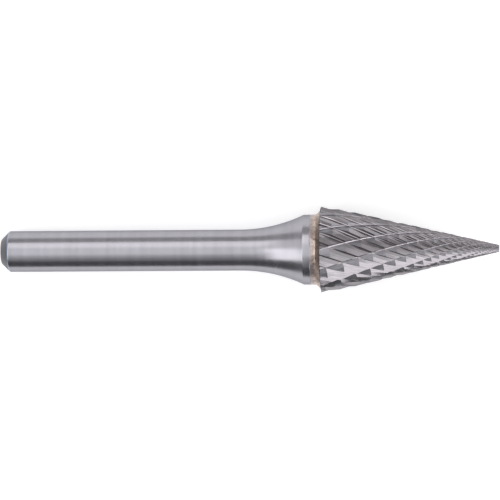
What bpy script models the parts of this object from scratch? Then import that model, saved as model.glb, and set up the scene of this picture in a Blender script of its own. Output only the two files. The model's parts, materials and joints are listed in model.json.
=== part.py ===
"""A carbide burr lying on its side: a double cut, pointed cone head brazed to a round steel shank.

Each piece is drawn standing on the end of the shank, with the tool's axis on +Z and its tip up. An
empty then lays the burr down, on the edge of the shank's end and on two of the head's teeth.
Heights are measured from the end of the shank.
"""

import math

import bmesh
import bpy
from mathutils import Vector

MM = 0.001

# Driving dimensions of the shank
SHANK_DIAMETER = 6.0 * MM
END_CHAMFER = 1.2 * MM
NECK_START = 35.1 * MM
NECK_LENGTH = 9.3 * MM
COLLAR_LENGTH = 1.05 * MM

# Driving dimensions of the brazed joint
BRAZE_THICKNESS = 0.25 * MM
BRAZE_HEIGHT = 0.95 * MM
HUB_STEP = 0.5 * MM  # from the collar's side in to the hub's
BACK_ARC_RADIUS = 0.85 * MM
BACK_ANGLE = math.radians(50)
JOINT_CLEARANCE = 0.03 * MM

# Driving dimensions of the cutting head
RIM_DIAMETER = 12.65 * MM
RIM_OVERHANG = 1.225 * MM  # from the rim in to the collar's side
TIP_DIAMETER = 1.03 * MM
HEAD_LENGTH = 25.85 * MM
RIM_EASE_LENGTH = 3.5 * MM
RIM_EASE_DROP = 0.25 * MM

# Driving dimensions of the teeth
FLUTES = 22
BREAKERS = 12
FLUTE_HELIX = math.radians(21.7)
BREAKER_HELIX = math.radians(16.4)
TOOTH_DEPTH = 0.077  # share of the head's radius
FLUTE_WALL = 0.18  # share of the flute's pitch under its steep wall
BREAKER_WALL = 0.11  # share of the breaker's pitch under its steep wall
BREAKER_WIDTH = 0.57  # share of the breaker's pitch that it cuts
BREAKER_START = math.radians(10.3)  # on the rim, from the first tooth to the first breaker

REST_ROLL = math.radians(17)  # from the first tooth to the side that the head lies on, roughly
REST_STEP = math.radians(0.5)
REST_STEPS = 12
REST_EXACT = 1e-7

TURNED_SIDES = 96
ARC_STEPS = 8
BACK_STEPS = 4
WELD = 0.0001 * MM
SLIVER = 0.002 * MM

# Sizes that follow from the driving dimensions
SHANK_RADIUS = SHANK_DIAMETER / 2
RIM_RADIUS = RIM_DIAMETER / 2
COLLAR_RADIUS = RIM_RADIUS - RIM_OVERHANG
COLLAR_START = NECK_START + NECK_LENGTH
COLLAR_END = COLLAR_START + COLLAR_LENGTH
BRAZE_START = COLLAR_END + JOINT_CLEARANCE
BRAZE_END = BRAZE_START + BRAZE_HEIGHT
HUB_START = BRAZE_START + BRAZE_THICKNESS
HUB_RADIUS = COLLAR_RADIUS - HUB_STEP
BACK_SLOPE = math.tan(BACK_ANGLE)
BACK_ARC_HEIGHT = BACK_ARC_RADIUS * math.sin(BACK_ANGLE)
BACK_ARC_RISE = BACK_ARC_RADIUS * (1 - math.cos(BACK_ANGLE))
BACK_LINE_RADIUS = COLLAR_RADIUS + BACK_ARC_RISE
RIM_HEIGHT = BRAZE_START + BACK_ARC_HEIGHT + (RIM_RADIUS - BACK_LINE_RADIUS) / BACK_SLOPE
TIP_RADIUS = TIP_DIAMETER / 2
TIP_HEIGHT = RIM_HEIGHT + HEAD_LENGTH
CONE_SLOPE = (RIM_RADIUS + RIM_EASE_DROP - TIP_RADIUS) / HEAD_LENGTH
CONE_HALF_ANGLE = math.atan(CONE_SLOPE)
APEX_HEIGHT = TIP_HEIGHT + TIP_RADIUS / CONE_SLOPE

FLUTE_PITCH = math.tau / FLUTES
BREAKER_PITCH = math.tau / BREAKERS
# Turn of each spiral for one unit of the logarithm of the cone's radius
FLUTE_TWIST = math.tan(FLUTE_HELIX) / math.sin(CONE_HALF_ANGLE)
BREAKER_TWIST = math.tan(BREAKER_HELIX) / math.sin(CONE_HALF_ANGLE)


def clear_scene():
    for old in list(bpy.data.objects):
        bpy.data.objects.remove(old, do_unlink=True)


def collection_for(name):
    group = bpy.data.collections.new(name)
    bpy.context.scene.collection.children.link(group)
    return group


def metal(name, colour, roughness):
    made = bpy.data.materials.new(name)
    made.use_nodes = True
    shader = made.node_tree.nodes["Principled BSDF"]
    shader.inputs["Base Color"].default_value = (*colour, 1)
    shader.inputs["Metallic"].default_value = 1
    shader.inputs["Roughness"].default_value = roughness
    made.diffuse_color = (*colour, 1)
    return made


def turned(name, profile, look, group):
    """A solid of revolution. The profile runs down its outer side as (radius, height) points."""
    mesh = bpy.data.meshes.new(name)
    points = [(radius, 0, height) for radius, height in profile]
    mesh.from_pydata(points, [(i, i + 1) for i in range(len(points) - 1)], [])
    piece = bpy.data.objects.new(name, mesh)
    group.objects.link(piece)
    screw = piece.modifiers.new("turn", "SCREW")
    screw.axis = "Z"
    screw.angle = math.tau
    screw.steps = screw.render_steps = TURNED_SIDES
    screw.use_merge_vertices = True
    screw.merge_threshold = WELD
    screw.use_smooth_shade = True
    mesh.materials.append(look)
    # A flat side faces +X, the side that the burr lies on
    piece.rotation_euler.z = math.pi / TURNED_SIDES
    return piece


def neck_points():
    """The neck's hollow arc, which leaves the shank along it and ends in a corner at the collar."""
    rise = COLLAR_RADIUS - SHANK_RADIUS
    arc_radius = (NECK_LENGTH**2 + rise**2) / (2 * rise)
    whole_angle = math.asin(NECK_LENGTH / arc_radius)
    for step in range(ARC_STEPS, -1, -1):
        angle = whole_angle * step / ARC_STEPS
        yield (
            SHANK_RADIUS + arc_radius * (1 - math.cos(angle)),
            NECK_START + arc_radius * math.sin(angle),
        )


def back_radius(height):
    """Radius of the flared back, from the collar out to the rim: a small arc, then a straight slope."""
    above = height - BRAZE_START
    if above > BACK_ARC_HEIGHT:
        return BACK_LINE_RADIUS + (above - BACK_ARC_HEIGHT) * BACK_SLOPE
    return COLLAR_RADIUS + BACK_ARC_RADIUS - math.sqrt(BACK_ARC_RADIUS**2 - above**2)


def shank_profile():
    return [
        (0, COLLAR_END),
        (COLLAR_RADIUS, COLLAR_END),
        *neck_points(),
        (SHANK_RADIUS, END_CHAMFER),
        (SHANK_RADIUS - END_CHAMFER, 0),
        (0, 0),
    ]


def braze_profile():
    """The thin layer of filler under the hub, and its fillet round the flared back."""
    arc = [BRAZE_START + BACK_ARC_HEIGHT * step / BACK_STEPS for step in range(BACK_STEPS, -1, -1)]
    return [
        (0, HUB_START),
        (HUB_RADIUS, HUB_START),
        (back_radius(BRAZE_END), BRAZE_END),
        *[(back_radius(height), height) for height in arc],
        (0, BRAZE_START),
    ]


def outline_radius(height):
    """The turned blank that the teeth are ground in: a cone, eased inwards towards its rim."""
    before_cone = max(0, RIM_HEIGHT + RIM_EASE_LENGTH - height) / RIM_EASE_LENGTH
    return CONE_SLOPE * (APEX_HEIGHT - height) - RIM_EASE_DROP * before_cone**2


def lattice_point(breaker_phase, flute_phase, depth):
    """The place on the head where two cuts cross, each named by its phase from its own first crest."""
    across = flute_phase * FLUTE_PITCH - breaker_phase * BREAKER_PITCH - BREAKER_START
    log_radius = across / (FLUTE_TWIST + BREAKER_TWIST)
    angle = flute_phase * FLUTE_PITCH - FLUTE_TWIST * log_radius
    height = APEX_HEIGHT - (APEX_HEIGHT - RIM_HEIGHT) * math.exp(log_radius)
    radius = outline_radius(height) * (1 - depth)
    return Vector((radius * math.cos(angle), radius * math.sin(angle), height))


def flute_rows():
    """First and last flute of the sheet, which reach past both ends of the head at every breaker."""
    tip_log = math.log((APEX_HEIGHT - TIP_HEIGHT) / (APEX_HEIGHT - RIM_HEIGHT))
    lowest = BREAKER_START + (FLUTE_TWIST + BREAKER_TWIST) * tip_log
    highest = BREAKER_START + math.tau
    return math.floor(lowest / FLUTE_PITCH) - 1, math.ceil(highest / FLUTE_PITCH) + 1


def sheet_of_teeth():
    """All the teeth as one sheet, wrapped once round the cone, from past the rim to past the tip.

    Across a chip breaker its wall drops to full depth, its floor climbs back, and a crest follows.
    Across a flute the tooth's face drops to full depth, and the next tooth's back climbs from it.
    """
    sheet = bmesh.new()
    across = [(0, 0), (BREAKER_WALL, TOOTH_DEPTH), (BREAKER_WIDTH, 0)]
    along = [(0, 0), (FLUTE_WALL, TOOTH_DEPTH)]
    first, last = flute_rows()
    columns = len(across) * BREAKERS
    rows = len(along) * (last - first)
    bmesh.ops.create_grid(sheet, x_segments=columns, y_segments=rows, size=1)
    depth_of = {}
    for corner in sheet.verts:
        breaker, stop = divmod(round((corner.co.x + 1) / 2 * columns), len(across))
        breaker_phase, breaker_depth = across[stop]
        flute, stop = divmod(round((corner.co.y + 1) / 2 * rows), len(along))
        flute_phase, flute_depth = along[stop]
        depth = max(breaker_depth, flute_depth)
        corner.co = lattice_point(breaker + breaker_phase, first + flute + flute_phase, depth)
        depth_of[corner] = depth
    # A facet folds along the line from its highest corner, where the two cuts are equally deep
    for facet in list(sheet.faces):
        corners = list(facet.verts)
        high = min(range(4), key=lambda i: depth_of[corners[i]])
        bmesh.utils.face_split(facet, corners[high], corners[(high + 2) % 4])
    return sheet


def trim(sheet, height, outward):
    bmesh.ops.bisect_plane(
        sheet,
        geom=sheet.verts[:] + sheet.edges[:] + sheet.faces[:],
        plane_co=(0, 0, height),
        plane_no=(0, 0, outward),
        clear_outer=True,
    )


def open_edges(body, height):
    return [
        edge
        for edge in body.edges
        if edge.is_boundary and all(abs(end.co.z - height) < SLIVER for end in edge.verts)
    ]


def draw_in(body, edges, radius, height):
    """Carries a ring of edges on to a circle, each corner keeping its own angle."""
    made = bmesh.ops.extrude_edge_only(body, edges=edges)["geom"]
    for corner in made:
        if isinstance(corner, bmesh.types.BMVert):
            flat = corner.co.xy.normalized() * radius
            corner.co = (flat.x, flat.y, height)
    return [edge for edge in made if isinstance(edge, bmesh.types.BMEdge) and edge.is_boundary]


def carbide_head(look, group):
    head = sheet_of_teeth()
    trim(head, RIM_HEIGHT, -1)
    trim(head, TIP_HEIGHT, 1)
    bmesh.ops.remove_doubles(head, verts=head.verts, dist=WELD)
    bmesh.ops.dissolve_degenerate(head, edges=head.edges, dist=SLIVER)
    bmesh.ops.edgeloop_fill(head, edges=open_edges(head, TIP_HEIGHT))
    rear = open_edges(head, RIM_HEIGHT)
    rear = draw_in(head, rear, back_radius(BRAZE_END), BRAZE_END + JOINT_CLEARANCE)
    rear = draw_in(head, rear, HUB_RADIUS, HUB_START + JOINT_CLEARANCE)
    bmesh.ops.edgeloop_fill(head, edges=rear)
    bmesh.ops.recalc_face_normals(head, faces=head.faces)
    mesh = bpy.data.meshes.new("carbide_head")
    head.to_mesh(mesh)
    head.free()
    mesh.materials.append(look)
    piece = bpy.data.objects.new("carbide_head", mesh)
    group.objects.link(piece)
    return piece


def resting_place(head):
    """Roll of the head and tilt of the whole burr where it lies still on three points.

    One is the edge of the shank's end. The other two are corners of the head, and the burr rolls
    until it lies lowest on them, so the tilt is least there.
    """
    heel_radius = SHANK_RADIUS * math.cos(math.pi / TURNED_SIDES)
    corners = [corner.co - Vector((0, 0, END_CHAMFER)) for corner in head.data.vertices]

    def tilt_at(roll):
        down = Vector((math.cos(roll), math.sin(roll)))
        return max(math.atan2(corner.xy.dot(down) - heel_radius, corner.z) for corner in corners)

    steps = range(-REST_STEPS, REST_STEPS + 1)
    roll = min((REST_ROLL + REST_STEP * step for step in steps), key=tilt_at)
    low, high = roll - REST_STEP, roll + REST_STEP
    while high - low > REST_EXACT:
        third = (high - low) / 3
        if tilt_at(low + third) < tilt_at(high - third):
            high -= third
        else:
            low += third
    return low, tilt_at(low)


def lay_down(pieces, head, group):
    """Lays the burr along +X and sets the origin under the middle of its box."""
    roll, tilt = resting_place(head)
    root = bpy.data.objects.new("burr", None)
    group.objects.link(root)
    for piece in pieces:
        piece.parent = root
    head.rotation_euler.z = -roll
    root.rotation_euler.y = math.pi / 2 - tilt
    bpy.context.view_layer.update()
    graph = bpy.context.evaluated_depsgraph_get()
    corners = []
    for piece in pieces:
        shape = piece.evaluated_get(graph)
        corners += [shape.matrix_world @ point.co for point in shape.data.vertices]
    low = [min(corner[axis] for corner in corners) for axis in range(3)]
    high = [max(corner[axis] for corner in corners) for axis in range(3)]
    root.location = (-(low[0] + high[0]) / 2, -(low[1] + high[1]) / 2, -low[2])


def main():
    clear_scene()
    group = collection_for("carbide burr")
    steel = metal("ground steel", (0.60, 0.60, 0.62), 0.28)
    filler = metal("brazing filler", (0.62, 0.49, 0.34), 0.45)
    carbide = metal("tungsten carbide", (0.52, 0.50, 0.52), 0.30)
    pieces = [
        turned("steel_shank", shank_profile(), steel, group),
        turned("braze_fillet", braze_profile(), filler, group),
        carbide_head(carbide, group),
    ]
    for piece in pieces[:2]:
        piece.data.set_sharp_from_angle(angle=math.radians(20))
    lay_down(pieces, pieces[2], group)


main()
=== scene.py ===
# %% [markdown]
# # A carbide burr
#
# A carbide burr is a small rotary cutter. A steel shank goes into the collet of a grinder, and a
# head of cemented carbide is brazed to its collar. This one has a pointed cone for a head, with
# two crossing sets of spiral cuts: deep flutes that make the teeth, and chip breakers that cut
# each tooth into short lengths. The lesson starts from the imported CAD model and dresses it.

# %% Load the model
import json
import math

import bpy
from mathutils import Matrix, Vector


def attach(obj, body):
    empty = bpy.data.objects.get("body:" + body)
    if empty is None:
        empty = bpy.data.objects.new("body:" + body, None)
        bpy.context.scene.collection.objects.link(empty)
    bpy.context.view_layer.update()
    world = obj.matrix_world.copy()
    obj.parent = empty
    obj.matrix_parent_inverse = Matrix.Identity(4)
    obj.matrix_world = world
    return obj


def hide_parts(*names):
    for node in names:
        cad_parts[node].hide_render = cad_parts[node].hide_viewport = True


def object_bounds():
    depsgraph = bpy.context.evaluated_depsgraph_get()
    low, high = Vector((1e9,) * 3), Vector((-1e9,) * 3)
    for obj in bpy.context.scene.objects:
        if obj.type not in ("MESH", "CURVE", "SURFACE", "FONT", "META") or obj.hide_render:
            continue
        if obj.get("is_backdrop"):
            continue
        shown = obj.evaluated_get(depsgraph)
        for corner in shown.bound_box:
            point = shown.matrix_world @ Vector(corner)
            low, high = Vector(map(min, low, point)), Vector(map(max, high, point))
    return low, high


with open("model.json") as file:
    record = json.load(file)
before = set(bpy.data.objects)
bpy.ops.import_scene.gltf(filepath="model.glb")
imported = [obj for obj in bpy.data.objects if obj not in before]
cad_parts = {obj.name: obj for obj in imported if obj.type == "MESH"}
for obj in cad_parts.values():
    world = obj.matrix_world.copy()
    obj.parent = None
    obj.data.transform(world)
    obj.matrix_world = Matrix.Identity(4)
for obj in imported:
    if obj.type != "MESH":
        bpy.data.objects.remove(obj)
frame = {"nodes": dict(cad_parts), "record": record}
CAD_LOW, CAD_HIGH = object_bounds()
print("nodes:", sorted(frame["nodes"]))
print("box in mm:", [round(side * 1000, 2) for side in CAD_HIGH - CAD_LOW])

# %% [markdown]
# ## The tool's own axes
#
# The burr lies on the shank's end and on two teeth, so its axis isn't level. It is easier to model
# a turned tool standing on its end, with the axis on +Z, and to lay each piece down at the end.
# The record has the middle of the shank's end and the direction that it faces, and these give one
# matrix from the standing tool to the lying one. Its +X points at the floor.

# %% Standing to lying
MM = 0.001
shank_end = frame["record"]["mounts"][0]
along = -Vector(shank_end["axis"]).normalized()
sideways = Vector((0, 1, 0))
downward = sideways.cross(along)
LYING = Matrix((downward, sideways, along)).transposed().to_4x4()
LYING.translation = Vector(shank_end["pos_m"])
TILT = math.asin(along.z)
print("tilt in degrees:", round(math.degrees(TILT), 2))


# %% [markdown]
# ## Small helpers
#
# An operator acts on whatever is selected, so each step starts by selecting nothing. A finished
# piece is laid down by moving its mesh and not its object, so that its object stays at the origin
# and a pattern on Object coordinates doesn't slide.

# %% Helpers for modelling
def select_only(piece):
    bpy.ops.object.select_all(action="DESELECT")
    piece.select_set(True)
    bpy.context.view_layer.objects.active = piece


def named(name):
    piece = bpy.context.active_object
    piece.name = name
    piece.data.name = name
    return piece


def merge_and_face_out(piece, distance=0.0005 * MM):
    select_only(piece)
    bpy.ops.object.mode_set(mode="EDIT")
    bpy.ops.mesh.select_all(action="SELECT")
    bpy.ops.mesh.remove_doubles(threshold=distance)
    bpy.ops.mesh.normals_make_consistent(inside=False)
    bpy.ops.object.mode_set(mode="OBJECT")


def finish_piece(piece, node, sharp_degrees):
    piece.data.transform(LYING)
    select_only(piece)
    bpy.ops.object.shade_smooth_by_angle(angle=math.radians(sharp_degrees))
    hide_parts(node)
    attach(piece, "root")
    print(piece.name, "has", len(piece.data.polygons), "faces")


# %% [markdown]
# ## The camera
#
# The photograph looks straight down at the lying burr, from about 400 mm away with a long lens.
# The tip lies higher than the shank's end, so from there the burr is seen a little from the tip's
# side, and every ring on it bows towards the shank. The camera is set from the tool's own axes: a
# distance, a lean towards the tip, an angle round the axis, and a small roll.

# %% Set the camera
VIEW_DISTANCE = 400 * MM
VIEW_LEAN = math.radians(4.2)
VIEW_ROUND = math.radians(171.0)  # from the floor side, round the axis towards +Y
VIEW_ROLL = math.radians(0.37)
VIEW_CENTRE = 36.51 * MM
LENS = 197.3

turn = LYING.to_3x3()
square_on = turn @ Vector((math.cos(VIEW_ROUND), math.sin(VIEW_ROUND), 0))
back = math.cos(VIEW_LEAN) * square_on + math.sin(VIEW_LEAN) * along
right = (along - along.dot(back) * back).normalized()
right = Matrix.Rotation(-VIEW_ROLL, 3, back) @ right
up = back.cross(right)
pose = Matrix((right, up, back)).transposed().to_4x4()
pose.translation = LYING @ Vector((0, 0, VIEW_CENTRE)) + VIEW_DISTANCE * back

camera_data = bpy.data.cameras.new("camera")
camera_data.lens = LENS
camera_data.clip_start = 10 * MM
camera = bpy.data.objects.new("camera", camera_data)
bpy.context.scene.collection.objects.link(camera)
camera.matrix_world = pose
bpy.context.scene.camera = camera
bpy.context.scene.view_settings.view_transform = "Standard"
print("camera at", [round(value * 1000) for value in pose.translation], "mm")


# %% [markdown]
# ## The lights
#
# Bright steel shows its surroundings, so the lamps are large soft panels, placed round the tool's
# axis like the panels of a photographer's light tent. A window stands behind the burr and a
# ceiling hangs over it for the shank. The shank panel shows in the hollow neck, which faces back
# along the tool, and the tip panels show in the cone, which faces forward. Nothing lights the near
# side, and it shows as the dark band along the shank. Each panel's power is set from its size, so
# that its face has the brightness that is asked for, where 1 is white. Together they light a plain
# grey card to about the colour that it is given.

# %% Hang the panels
def panel(name, angles, reach, brightness, colour=(1, 1, 1), distance=0.9):
    """A soft panel round the tool's axis.

    angles are its two edges, from straight up towards +Y. reach is how far it goes along X, from
    the shank's side to the tip's side, as a share of its distance.
    """
    middle = math.radians(sum(angles) / 2)
    half = math.radians(angles[1] - angles[0]) / 2
    data = bpy.data.lights.new(name, "AREA")
    data.shape = "RECTANGLE"
    data.size = (reach[1] - reach[0]) * distance
    data.size_y = 2 * math.tan(half) * distance
    data.energy = math.pi * data.size * data.size_y * brightness
    data.color = colour
    lamp = bpy.data.objects.new(name, data)
    bpy.context.scene.collection.objects.link(lamp)
    out = Vector((0, math.sin(middle), math.cos(middle)))
    level = Vector((1, 0, 0))
    lamp.matrix_world = Matrix((level, out.cross(level), out)).transposed().to_4x4()
    lamp.location = distance * out + sum(reach) / 2 * distance * level
    lamp.visible_camera = False
    return lamp


panel("window", (28, 60), (-0.6, 0.1), 1.74, (1, 0.985, 1))
panel("window_end", (14, 60), (-1.7, -0.6), 1.15, (1, 0.985, 1))
panel("ceiling", (-15, 28), (-0.6, 0.2), 1.2, (0.985, 0.98, 1), 1.0)
panel("ceiling_fade", (-32, -15), (-0.6, 0.05), 0.62, (0.98, 0.98, 1), 1.0)
panel("ceiling_edge", (-50, -32), (-0.6, 0.05), 0.29, (0.97, 0.97, 1), 1.0)
panel("shank_panel", (-42, 14), (-1.7, -0.6), 2.3, (1, 0.985, 1), 1.0)
panel("low_wall", (64, 92), (-1.6, 0.1), 0.4)
panel("tip_panel", (-66, 6), (0.3, 1.1), 2.16, (0.99, 0.975, 1))
panel("tip_fade", (6, 34), (0.22, 1.1), 1.15, (0.98, 0.98, 1))
panel("tip_edge", (34, 62), (0.15, 1.1), 0.86, (1, 0.97, 0.98))
panel("tip_wall", (62, 90), (0.1, 1.1), 0.42, (1, 0.97, 0.98))

# %% [markdown]
# ## The floor and the room
#
# The floor is a plain pale sheet. Its own soft shade keeps the burr's shadow, and a little white
# is added for what the camera and the metal see of it, so that it reads as a white background.

# %% Lay the floor
FLOOR_SIDE = 6.0
FLOOR_GREY = 0.74
FLOOR_GLOW = 0.45
ROOM_STRENGTH = 0.116

bpy.ops.object.select_all(action="DESELECT")
bpy.ops.mesh.primitive_plane_add(size=FLOOR_SIDE)
floor = named("floor")
paper = bpy.data.materials.new("white paper")
paper.use_nodes = True
nodes, links = paper.node_tree.nodes, paper.node_tree.links
nodes.clear()
sheet = nodes.new("ShaderNodeBsdfDiffuse")
sheet.inputs["Color"].default_value = (FLOOR_GREY, FLOOR_GREY, FLOOR_GREY, 1)
lift = nodes.new("ShaderNodeEmission")
path = nodes.new("ShaderNodeLightPath")
seen = nodes.new("ShaderNodeMath")
seen.operation = "ADD"
seen_too = nodes.new("ShaderNodeMath")
seen_too.operation = "ADD"
seen_too.use_clamp = True
strength = nodes.new("ShaderNodeMath")
strength.operation = "MULTIPLY"
strength.inputs[1].default_value = FLOOR_GLOW
both = nodes.new("ShaderNodeAddShader")
output = nodes.new("ShaderNodeOutputMaterial")
links.new(path.outputs["Is Camera Ray"], seen.inputs[0])
links.new(path.outputs["Is Glossy Ray"], seen.inputs[1])
links.new(seen.outputs[0], seen_too.inputs[0])
links.new(path.outputs["Is Transmission Ray"], seen_too.inputs[1])
links.new(seen_too.outputs[0], strength.inputs[0])
links.new(strength.outputs[0], lift.inputs["Strength"])
links.new(sheet.outputs[0], both.inputs[0])
links.new(lift.outputs[0], both.inputs[1])
links.new(both.outputs[0], output.inputs["Surface"])
floor.data.materials.append(paper)
floor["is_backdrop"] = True

room = bpy.data.worlds.new("room")
room.use_nodes = True
background = room.node_tree.nodes["Background"]
background.inputs["Color"].default_value = (0.95, 0.96, 1, 1)
background.inputs["Strength"].default_value = ROOM_STRENGTH
bpy.context.scene.world = room
print("floor:", FLOOR_SIDE, "m, room strength:", ROOM_STRENGTH)


# %% [markdown]
# ## Building materials from nodes
#
# Every finish here is a Principled shader with a few procedural textures. A short helper adds a
# node, sets its values and links its inputs, which keeps each recipe readable.

# %% Helpers for materials
def finish(name, **values):
    made = bpy.data.materials.new(name)
    made.use_nodes = True
    shader = made.node_tree.nodes["Principled BSDF"]
    for socket, value in values.items():
        shader.inputs[socket.replace("_", " ")].default_value = value
    return made, shader


def node(made, kind, settings=None, **inputs):
    """Adds a node. A value in inputs is either a plain value or another node's output."""
    new = made.node_tree.nodes.new("ShaderNode" + kind)
    for key, value in (settings or {}).items():
        setattr(new, key, value)
    for socket, value in inputs.items():
        target = new.inputs[int(socket[1:])] if socket[1:].isdigit() else new.inputs[socket]
        if isinstance(value, bpy.types.NodeSocket):
            made.node_tree.links.new(value, target)
        else:
            target.default_value = value
    return new


def ramp(made, factor, *stops):
    """A colour ramp through (place, grey or colour) stops."""
    new = node(made, "ValToRGB", Fac=factor)
    band = new.color_ramp
    while len(band.elements) < len(stops):
        band.elements.new(0.5)
    for element, (place, shade) in zip(band.elements, stops):
        element.position = place
        colour = shade if isinstance(shade, tuple) else (shade,) * 3
        element.color = (*colour, 1)
    return new.outputs["Color"]


def tool_coordinates(made):
    """Object coordinates turned back to the standing tool: Z is along the axis."""
    place = node(made, "TexCoord")
    back_to_tool = LYING.inverted()
    spin = back_to_tool.to_euler()
    return node(
        made,
        "Mapping",
        Vector=place.outputs["Object"],
        Location=back_to_tool.translation,
        Rotation=spin,
    ).outputs[0]


def stretched(made, vector, across, lengthways):
    """Scales the tool's coordinates, so that a texture is fine along one of its directions."""
    scale = (across, across, lengthways)
    return node(made, "Mapping", Vector=vector, Scale=scale).outputs[0]


def multiplied(made, colour, by):
    """One colour times another."""
    mix = node(made, "Mix", {"data_type": "RGBA", "blend_type": "MULTIPLY"}, Factor=1.0)
    made.node_tree.links.new(colour, mix.inputs[6])
    made.node_tree.links.new(by, mix.inputs[7])
    return mix.outputs[2]


# %% [markdown]
# ## The steel
#
# The shank is ground and its neck is turned, so it is covered in very fine rings round the axis.
# They blur reflections along the tool and leave them crisp around it. Two noises that are squeezed
# along the axis make such rings: a fine one for the grinding, and a coarser one for uneven bands.
# A metal's specular tint is how much it reflects at a glance, and it keeps the shank's sides grey.
# The chamfer is rougher, and its colour is darkened well below the steel's as painted shade. Its
# rounded corner gets a bluish colour as a painted highlight.

# %% Ground steel
steel, shader = finish("ground steel", Metallic=1.0, Specular_Tint=(0.55, 0.55, 0.57, 1))
place = tool_coordinates(steel)
fine = node(steel, "TexNoise", Vector=stretched(steel, place, 60, 9000), Scale=1.0, Detail=3.0)
bands = node(steel, "TexNoise", Vector=stretched(steel, place, 40, 900), Scale=1.0, Detail=2.0)
stain = node(steel, "TexNoise", Vector=place, Scale=260.0, Detail=4.0)
dark_steel, light_steel = (0.345, 0.338, 0.363), (0.39, 0.383, 0.409)
tone = ramp(steel, bands.outputs["Fac"], (0.3, dark_steel), (0.7, light_steel))
patch = ramp(steel, stain.outputs["Fac"], (0.35, 0.96), (0.65, 1.0))
steel.node_tree.links.new(multiplied(steel, tone, patch), shader.inputs["Base Color"])
polish = node(steel, "MapRange", Value=bands.outputs["Fac"], _3=0.2, _4=0.3)
steel.node_tree.links.new(polish.outputs[0], shader.inputs["Roughness"])
rings = node(steel, "Bump", Height=fine.outputs["Fac"], Strength=0.35, Distance=0.004 * MM)
steel.node_tree.links.new(rings.outputs[0], shader.inputs["Normal"])
# The chamfer's dark colour is painted shade; its higher roughness is real.
chamfer_steel_painted_shade, _ = finish(
    "chamfer with painted shade", Metallic=1.0, Roughness=0.4, Base_Color=(0.138, 0.136, 0.144, 1)
)
# The bluish colour of the chamfer's rounded corner is a painted highlight.
chamfer_corner_painted_highlight, _ = finish(
    "chamfer corner with painted highlight", Metallic=1.0, Roughness=0.32, Base_Color=(0.31, 0.38, 0.47, 1)
)
print("finishes:", steel.name, chamfer_steel_painted_shade.name, chamfer_corner_painted_highlight.name)

# %% [markdown]
# ## The shank
#
# The shank is one turned bar: a chamfered end, a straight 6 mm length, a hollow neck and a short
# collar. On a lathe its shape is a profile, and so it is here. A plane is cut down to one edge,
# the edge is drawn along the profile by extruding, and the profile is spun round the axis. The
# chamfer's corners get a small round, because a sharp corner on real steel still catches light.

# %% The profile of the shank
SHANK_RADIUS = 2.998 * MM
END_CHAMFER = 1.2 * MM
CORNER = 0.12 * MM
NECK_START = 35.1 * MM
NECK_LENGTH = 9.3 * MM
COLLAR_RADIUS = 5.1 * MM
COLLAR_END = 45.45 * MM
COLLAR_CORNER = 0.06 * MM


def rounded(before, corner, after, size, steps=4):
    """Points that round one corner of a profile off."""
    corner = Vector(corner)
    start = corner + (Vector(before) - corner).normalized() * size
    end = corner + (Vector(after) - corner).normalized() * size
    for i in range(steps + 1):
        t = i / steps
        yield (1 - t) ** 2 * start + 2 * t * (1 - t) * corner + t**2 * end


def neck(steps=40):
    rise = COLLAR_RADIUS - SHANK_RADIUS
    arc_radius = (NECK_LENGTH**2 + rise**2) / (2 * rise)
    whole = math.asin(NECK_LENGTH / arc_radius)
    for i in range(steps + 1):
        angle = whole * i / steps
        yield Vector((
            SHANK_RADIUS + arc_radius * (1 - math.cos(angle)),
            NECK_START + arc_radius * math.sin(angle),
        ))


end_edge = (SHANK_RADIUS - END_CHAMFER, 0)
side_edge = (SHANK_RADIUS, END_CHAMFER)
neck_line = list(neck())
collar_edge = (COLLAR_RADIUS, COLLAR_END)
shank_line = [
    Vector((0, 0)),
    *rounded((0, 0), end_edge, side_edge, CORNER),
    *rounded(end_edge, side_edge, (SHANK_RADIUS, NECK_START), CORNER),
    *neck_line[:-1],
    *rounded(neck_line[-2], neck_line[-1], collar_edge, COLLAR_CORNER),
    *rounded(neck_line[-1], collar_edge, (0, COLLAR_END), COLLAR_CORNER),
    Vector((0, COLLAR_END)),
]
print("profile points:", len(shank_line))


# %% Turn the shank
def turned(name, line, sides):
    """Draws a profile by extruding one corner along it, and spins it round the axis."""
    bpy.ops.object.select_all(action="DESELECT")
    bpy.ops.mesh.primitive_plane_add(size=1 * MM)
    piece = named(name)
    bpy.ops.object.mode_set(mode="EDIT")
    bpy.ops.mesh.select_all(action="SELECT")
    bpy.ops.mesh.merge(type="CENTER")
    bpy.ops.transform.translate(value=(line[0].x, 0, line[0].y))
    for here, there in zip(line, line[1:]):
        step = there - here
        bpy.ops.mesh.extrude_region_move(TRANSFORM_OT_translate={"value": (step.x, 0, step.y)})
    bpy.ops.mesh.select_all(action="SELECT")
    bpy.ops.mesh.spin(steps=sides, angle=math.tau, center=(0, 0, 0), axis=(0, 0, 1))
    bpy.ops.object.mode_set(mode="OBJECT")
    merge_and_face_out(piece)
    return piece


shank = turned("ground_shank", shank_line, 256)
for made in (steel, chamfer_steel_painted_shade, chamfer_corner_painted_highlight):
    shank.data.materials.append(made)
# The rounded corner's facets get the painted highlight, and the rest of the chamfer gets the
# painted shade.
CHAMFER, PAINTED_HIGHLIGHT = 1, 2
PAINTED_HIGHLIGHT_START = END_CHAMFER - 0.7 * CORNER
for facet in shank.data.polygons:
    if facet.center.z < END_CHAMFER + CORNER:
        facet.material_index = PAINTED_HIGHLIGHT if facet.center.z > PAINTED_HIGHLIGHT_START else CHAMFER
finish_piece(shank, "steel_shank", 25)

# %% [markdown]
# ## The carbide
#
# Cemented carbide is a grey metal with a faint warm tone. A diamond wheel grinds every cut, and
# leaves fine straight streaks along it. The head's UV map has one unit for each chip breaker and
# one for each flute, so a noise that is squeezed across the flutes gives streaks that follow them
# round the cone and shrink with them towards the tip. The teeth's steep faces and the chip
# breakers' floors are given a darker colour than the backs as painted shade, and the bottom of
# every cut a brighter one as a painted highlight.

# %% Ground carbide
STREAK_DARK = 0.72
STREAK_LIGHT = 1.16


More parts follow.
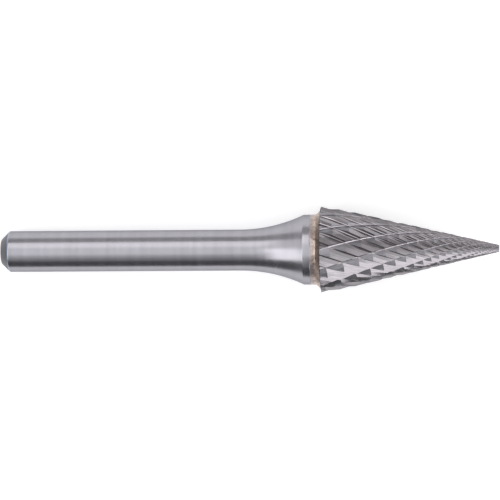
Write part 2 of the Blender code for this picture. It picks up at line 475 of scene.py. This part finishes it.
def ground_carbide(name, colour, roughness, across_flutes, across_breakers, depth):
    made, shader = finish(
        name, Metallic=1.0, Roughness=roughness, Specular_Tint=(0.6, 0.6, 0.61, 1)
    )
    place = node(made, "UVMap", {"uv_map": "cuts"}).outputs[0]
    squeeze = (across_breakers, across_flutes, 1)
    squeezed = node(made, "Mapping", Vector=place, Scale=squeeze).outputs[0]
    streaks = node(made, "TexNoise", Vector=squeezed, Scale=1.0, Detail=3.0)
    cells = node(made, "Mapping", Vector=place, Scale=(1.3, 1.1, 1)).outputs[0]
    uneven = node(made, "TexNoise", Vector=cells, Scale=1.0, Detail=2.0)
    darker = tuple(value * STREAK_DARK for value in colour)
    lighter = tuple(value * STREAK_LIGHT for value in colour)
    tone = ramp(made, streaks.outputs["Fac"], (0.3, darker), (0.7, lighter))
    patch = ramp(made, uneven.outputs["Fac"], (0.3, 0.88), (0.7, 1.0))
    made.node_tree.links.new(multiplied(made, tone, patch), shader.inputs["Base Color"])
    marks = node(made, "Bump", Height=streaks.outputs["Fac"], Strength=0.5, Distance=depth)
    made.node_tree.links.new(marks.outputs[0], shader.inputs["Normal"])
    return made


tooth_back = ground_carbide("ground tooth back", (0.338, 0.322, 0.336), 0.22, 26, 2, 0.006 * MM)
# The steep faces and the chip breakers' floors get darker copies of the carbide's colour as
# painted shade.
tooth_face_painted_shade = ground_carbide("tooth face with painted shade", (0.192, 0.178, 0.187), 0.3, 40, 2, 0.004 * MM)
breaker_floor_painted_shade = ground_carbide(
    "chip breaker with painted shade", (0.255, 0.25, 0.268), 0.32, 2, 30, 0.006 * MM
)
# The bottom of every cut gets a brighter copy of the carbide's colour as a painted highlight.
gullet_painted_highlight = ground_carbide("gullet with painted highlight", (0.565, 0.53, 0.547), 0.3, 8, 2, 0.002 * MM)
print("finishes:", tooth_back.name, tooth_face_painted_shade.name, breaker_floor_painted_shade.name, gullet_painted_highlight.name)

# %% [markdown]
# ## The cone's teeth
#
# Both sets of cuts are spirals that cross the cone at a steady angle, so each keeps its slant
# while the teeth shrink towards the tip. Where the cone's radius falls by a share, each spiral
# turns by the same angle, so with the logarithm of the radius the whole head is one straight
# lattice. A flat grid is that lattice: its columns are the stops across a chip breaker, its rows
# the stops across a flute. Each corner of the grid is moved to its place on the cone, as deep as
# the deeper of the two cuts there. No chain of extrudes could give these crossing spirals.

# %% Sizes of the head
RIM_RADIUS = 6.265 * MM
RIM_HEIGHT = 46.9043 * MM
HEAD_LENGTH = 25.849 * MM
TIP_RADIUS = 0.515 * MM
EASE_LENGTH = 3.5 * MM
EASE_DROP = 0.25 * MM
FLUTES = 22
BREAKERS = 12
FLUTE_HELIX = math.radians(21.7)
BREAKER_HELIX = math.radians(16.4)
BREAKER_START = math.radians(8.5)
ROLL = math.radians(19.9)
TOOTH_DEPTH = 0.077

TIP_HEIGHT = RIM_HEIGHT + HEAD_LENGTH
SLOPE = (RIM_RADIUS + EASE_DROP - TIP_RADIUS) / HEAD_LENGTH
HALF_ANGLE = math.atan(SLOPE)
APEX_HEIGHT = TIP_HEIGHT + TIP_RADIUS / SLOPE
FLUTE_PITCH = math.tau / FLUTES
BREAKER_PITCH = math.tau / BREAKERS
FLUTE_TWIST = math.tan(FLUTE_HELIX) / math.sin(HALF_ANGLE)
BREAKER_TWIST = math.tan(BREAKER_HELIX) / math.sin(HALF_ANGLE)
# Stops across each cut: (share of the pitch, share of the full depth). A steep wall goes down
# from the crest, then comes the bottom, which has a painted highlight, and the rest rises slowly
# to the next crest.
ACROSS_BREAKER = [(0, 0), (0.03, 0.43), (0.06, 0.85), (0.10, 1), (0.33, 0.5), (0.57, 0)]
ACROSS_FLUTE = [(0, 0), (0.065, 0.43), (0.13, 0.85), (0.19, 1), (0.54, 0.5), (0.945, 0.09)]
print("flutes:", FLUTES, "chip breakers:", BREAKERS)


# %% Where two cuts cross
def outline(height):
    before_cone = max(0, RIM_HEIGHT + EASE_LENGTH - height) / EASE_LENGTH
    return SLOPE * (APEX_HEIGHT - height) - EASE_DROP * before_cone**2


def crossing(breaker, flute, depth):
    across = flute * FLUTE_PITCH - breaker * BREAKER_PITCH - BREAKER_START
    log_radius = across / (FLUTE_TWIST + BREAKER_TWIST)
    angle = flute * FLUTE_PITCH - FLUTE_TWIST * log_radius - ROLL
    height = APEX_HEIGHT - (APEX_HEIGHT - RIM_HEIGHT) * math.exp(log_radius)
    radius = outline(height) * (1 - TOOTH_DEPTH * depth)
    return Vector((radius * math.cos(angle), radius * math.sin(angle), height))


def flute_rows():
    tip_log = math.log((APEX_HEIGHT - TIP_HEIGHT) / (APEX_HEIGHT - RIM_HEIGHT))
    lowest = BREAKER_START + (FLUTE_TWIST + BREAKER_TWIST) * tip_log
    highest = BREAKER_START + math.tau
    return math.floor(lowest / FLUTE_PITCH) - 1, math.ceil(highest / FLUTE_PITCH) + 1


# %% Wrap the lattice round the cone
def stop_at(index, stops):
    whole, step = divmod(index, len(stops))
    return whole + stops[step][0], stops[step][1]


first_flute, last_flute = flute_rows()
columns = len(ACROSS_BREAKER) * BREAKERS
rows = len(ACROSS_FLUTE) * (last_flute - first_flute)
bpy.ops.object.select_all(action="DESELECT")
bpy.ops.mesh.primitive_grid_add(x_subdivisions=columns, y_subdivisions=rows, size=2)
head = named("carbide_teeth")
place_of, depth_of = {}, {}
for corner in head.data.vertices:
    breaker, breaker_depth = stop_at(round((corner.co.x + 1) / 2 * columns), ACROSS_BREAKER)
    flute, flute_depth = stop_at(round((corner.co.y + 1) / 2 * rows), ACROSS_FLUTE)
    flute += first_flute
    place_of[corner.index] = breaker, flute
    depth_of[corner.index] = breaker_depth, flute_depth
    corner.co = crossing(breaker, flute, max(breaker_depth, flute_depth))
print("grid:", columns, "by", rows)


# %% [markdown]
# ## Folding and finishing the teeth
#
# Where the two cuts are equally deep they meet in a crease, and it runs along a diagonal of the
# grid's cells. Each cell is split there into two triangles, along the diagonal from its shallowest
# corner. Each triangle then gets the finish of the cut that made it, and the bottoms of both cuts
# get the one with a painted highlight. The folded mesh takes the place of the grid, and it also
# gets the UV map.

# %% Fold the cells and give each facet its finish
FINISHES = [tooth_back, tooth_face_painted_shade, breaker_floor_painted_shade, gullet_painted_highlight]
BACK, FACE, FLOOR, GULLET = range(4)


def facet_finish(facet):
    corners = list(facet.vertices)
    breaker = sum(place_of[i][0] for i in corners) / len(corners)
    flute = sum(place_of[i][1] for i in corners) / len(corners)
    breaker_depth = sum(depth_of[i][0] for i in corners) / len(corners)
    flute_depth = sum(depth_of[i][1] for i in corners) / len(corners)
    if ACROSS_BREAKER[2][0] < breaker % 1 < ACROSS_BREAKER[3][0]:
        return GULLET
    if breaker_depth > flute_depth:
        return FLOOR
    if ACROSS_FLUTE[2][0] < flute % 1 < ACROSS_FLUTE[3][0]:
        return GULLET
    return FACE if flute % 1 < ACROSS_FLUTE[2][0] else BACK


def shallowest_first(corners):
    depth = [max(depth_of[i]) for i in corners]
    start = depth.index(min(depth))
    return corners[start:] + corners[:start]


triangles = []
for facet in head.data.polygons:
    a, b, c, d = shallowest_first(list(facet.vertices))
    triangles += [(a, b, c), (a, c, d)]
folded = bpy.data.meshes.new("carbide_teeth")
folded.from_pydata([corner.co[:] for corner in head.data.vertices], [], triangles)
folded_cuts = folded.uv_layers.new(name="cuts")
for loop in folded.loops:
    folded_cuts.data[loop.index].uv = place_of[loop.vertex_index]
for made in FINISHES:
    folded.materials.append(made)
for facet in folded.polygons:
    facet.material_index = facet_finish(facet)
head.data = folded
print("facets:", len(folded.polygons))


# %% Trim, close and finish the head
HUB_START = 45.76 * MM
HUB_RADIUS = 4.6 * MM
BACK_START = 46.78 * MM
BACK_RADIUS = 5.55 * MM


def cut_off(height, outwards):
    bpy.ops.mesh.select_all(action="SELECT")
    plane = {"plane_co": (0, 0, height), "plane_no": (0, 0, outwards)}
    bpy.ops.mesh.bisect(**plane, clear_outer=True, threshold=0.0001 * MM)


def select_ring(piece, height):
    bpy.ops.mesh.select_all(action="DESELECT")
    bpy.ops.object.mode_set(mode="OBJECT")
    for edge in piece.data.edges:
        ends = [piece.data.vertices[i] for i in edge.vertices]
        edge.select = all(abs(end.co.z - height) < 0.001 * MM for end in ends)
    bpy.ops.object.mode_set(mode="EDIT")


def draw_in(height, radius, from_height):
    """Extrudes the ring and draws it in to a circle. Each corner keeps its own angle."""
    rise = (0, 0, height - from_height)
    bpy.ops.mesh.extrude_region_move(TRANSFORM_OT_translate={"value": rise})
    bpy.ops.object.mode_set(mode="OBJECT")
    for corner in head.data.vertices:
        if corner.select:
            flat = corner.co.xy.normalized() * radius
            corner.co = (flat.x, flat.y, height)
    bpy.ops.object.mode_set(mode="EDIT")


select_only(head)
bpy.ops.object.mode_set(mode="EDIT")
bpy.context.tool_settings.mesh_select_mode = (False, True, False)
cut_off(RIM_HEIGHT, -1)
cut_off(TIP_HEIGHT, 1)
bpy.ops.mesh.select_all(action="SELECT")
bpy.ops.mesh.remove_doubles(threshold=0.0002 * MM)
select_ring(head, TIP_HEIGHT)
bpy.ops.mesh.edge_face_add()
select_ring(head, RIM_HEIGHT)
draw_in(BACK_START, BACK_RADIUS, RIM_HEIGHT)
draw_in(HUB_START, HUB_RADIUS, BACK_START)
bpy.ops.mesh.edge_face_add()
bpy.context.tool_settings.mesh_select_mode = (True, False, False)
bpy.ops.object.mode_set(mode="OBJECT")
merge_and_face_out(head, 0.0002 * MM)
finish_piece(head, "carbide_head", 6)

# %% [markdown]
# ## The braze
#
# The head is brazed to the collar with a silver alloy. A tan smear of it fills the corner under
# the head's flare, with an uneven edge and small pits. It is a turned band, and its skin is
# then pushed in and out by a noise, more at its edges than in the middle.

# %% Brazing filler
braze, shader = finish("brazing filler", Metallic=0.95, Roughness=0.38)
place = tool_coordinates(braze)
clouds = node(braze, "TexNoise", Vector=place, Scale=900.0, Detail=5.0, Roughness=0.65)
pits = node(braze, "TexNoise", Vector=place, Scale=4200.0, Detail=3.0)
tone = ramp(
    braze,
    clouds.outputs["Fac"],
    (0.3, (0.16, 0.12, 0.102)),
    (0.45, (0.34, 0.268, 0.23)),
    (0.58, (0.54, 0.44, 0.38)),
    (0.75, (0.66, 0.56, 0.5)),
)
dots = ramp(braze, pits.outputs["Fac"], (0.34, 0.45), (0.46, 1.0))
colour = multiplied(braze, tone, dots)
height = node(braze, "SeparateXYZ", _0=place).outputs["Z"]
uneven = node(braze, "TexNoise", Vector=place, Scale=800.0, Detail=4.0).outputs["Fac"]
wave_size = 0.8 * MM
wavy = node(braze, "Math", {"operation": "MULTIPLY_ADD"}, _0=uneven, _1=wave_size, _2=height)
smear = node(braze, "MapRange", Value=wavy.outputs[0], _1=45.72 * MM, _2=46.5 * MM).outputs[0]
thinning = node(braze, "Mix", {"data_type": "RGBA"}, Factor=smear)
thinning.inputs[6].default_value = (0.36, 0.347, 0.37, 1)
braze.node_tree.links.new(colour, thinning.inputs[7])
braze.node_tree.links.new(thinning.outputs[2], shader.inputs["Base Color"])
lumps = node(braze, "Bump", Height=pits.outputs["Fac"], Strength=0.8, Distance=0.03 * MM)
braze.node_tree.links.new(lumps.outputs[0], shader.inputs["Normal"])

# %% The braze band
BRAZE_START = 45.42 * MM
BRAZE_END = 46.84 * MM
FLARE_START = 46.0 * MM
FLARE_ARC = 0.85 * MM
SEAT = Vector((4.7 * MM, 45.77 * MM))
OVERLAP = 0.1 * MM
SKIN_STEPS = 14
SKIN_RISE = 0.03 * MM


def flare(height):
    """The radius of the braze's skin, which curves up on the head's back."""
    above = max(0, height - FLARE_START)
    return COLLAR_RADIUS + FLARE_ARC - math.sqrt(FLARE_ARC**2 - above**2)


span = BRAZE_END - BRAZE_START
skin = [BRAZE_END - span * i / SKIN_STEPS for i in range(SKIN_STEPS + 1)]
braze_line = [SEAT, Vector((flare(BRAZE_END) - OVERLAP, BRAZE_END))]
braze_line += [
    Vector((flare(height) + SKIN_RISE * (height - BRAZE_START) / span, height))
    for height in skin
]
braze_line += [Vector((COLLAR_RADIUS - OVERLAP, BRAZE_START))]
filler = turned("brazing_filler", braze_line, 360)
filler.data.materials.append(braze)
print("braze skin points:", len(skin))

# %% Roughen the braze
from mathutils import noise

EDGE_WAVE = 0.13 * MM
SKIN_LUMP = 0.022 * MM
SKIN_MARGIN = 0.01 * MM

for corner in filler.data.vertices:
    angle = math.atan2(corner.co.y, corner.co.x)
    ring = Vector((math.cos(angle), math.sin(angle), 0))
    share = (corner.co.z - BRAZE_START) / span
    if corner.co.xy.length < flare(corner.co.z) - SKIN_MARGIN:
        continue
    wave = noise.noise(ring * 3.1) + 0.6 * noise.noise(ring * 9 + Vector((5, 0, 0)))
    lump = noise.noise(corner.co * 1600) + 0.5 * noise.noise(corner.co * 4200)
    corner.co.z += EDGE_WAVE * wave * (1 - share) ** 2
    corner.co += ring * (SKIN_LUMP * lump)
finish_piece(filler, "braze_fillet", 60)

# %% [markdown]
# ## The sizes
#
# The sizes of the CAD model's box and of the dressed burr's box are written side by side.

# %% Write the sizes
NEW_LOW, NEW_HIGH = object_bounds()
boxes = {
    "cad": [list(CAD_LOW), list(CAD_HIGH)],
    "visual": [list(NEW_LOW), list(NEW_HIGH)],
}
for name, (low, high) in boxes.items():
    print(name, [round((b - a) * 1000, 3) for a, b in zip(low, high)])
